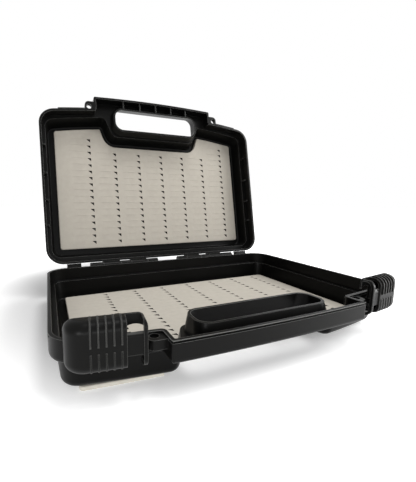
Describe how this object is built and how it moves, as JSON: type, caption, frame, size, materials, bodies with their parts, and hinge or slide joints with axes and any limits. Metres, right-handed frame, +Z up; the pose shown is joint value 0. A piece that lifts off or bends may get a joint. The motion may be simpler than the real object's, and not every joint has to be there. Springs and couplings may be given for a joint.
{
  "type": "fly box",
  "caption": "Hinged moulded carrying case for fishing flies, with slit foam panels in lid and base, a hand hole grip and sliding latches.",
  "frame": {"origin": "middle of the lower face of the foam pad that the case rests on", "axes": "+X to the right seen from the grip, +Y towards the hinge, +Z up"},
  "size_m": [0.305, 0.2965, 0.255],
  "materials": {
    "shell_plastic": "satin",
    "latch_plastic": "satin",
    "base_foam": "matte",
    "lid_foam": "matte",
    "pad_foam": "matte",
    "adhesive": "matte",
    "pin_steel": "satin"
  },
  "bodies": {
    "base": {"base_shell": "shell_plastic", "base_slit_foam": "base_foam", "base_foam_adhesive": "adhesive", "bottom_foam_pad": "pad_foam", "bottom_pad_adhesive": "adhesive", "left_hinge_pin": "pin_steel", "right_hinge_pin": "pin_steel"},
    "lid": {"lid_shell": "shell_plastic", "lid_slit_foam": "lid_foam", "lid_foam_adhesive": "adhesive"},
    "left_latch": {"left_latch": "latch_plastic"},
    "right_latch": {"right_latch": "latch_plastic"}
  },
  "joints": [
    {"name": "lid_hinge", "type": "hinge", "parent": "base", "child": "lid", "pos_m": [0, 0.10577, 0.03875], "axis": [1, 0, 0], "range_deg": [0, 101.83]},
    {"name": "left_latch_slide", "type": "slide", "parent": "base", "child": "left_latch", "axis": [0.9922, -0.1245, 0], "range_m": [0, 0.011]},
    {"name": "right_latch_slide", "type": "slide", "parent": "base", "child": "right_latch", "axis": [-0.9922, -0.1245, 0], "range_m": [0, 0.011]}
  ]
}
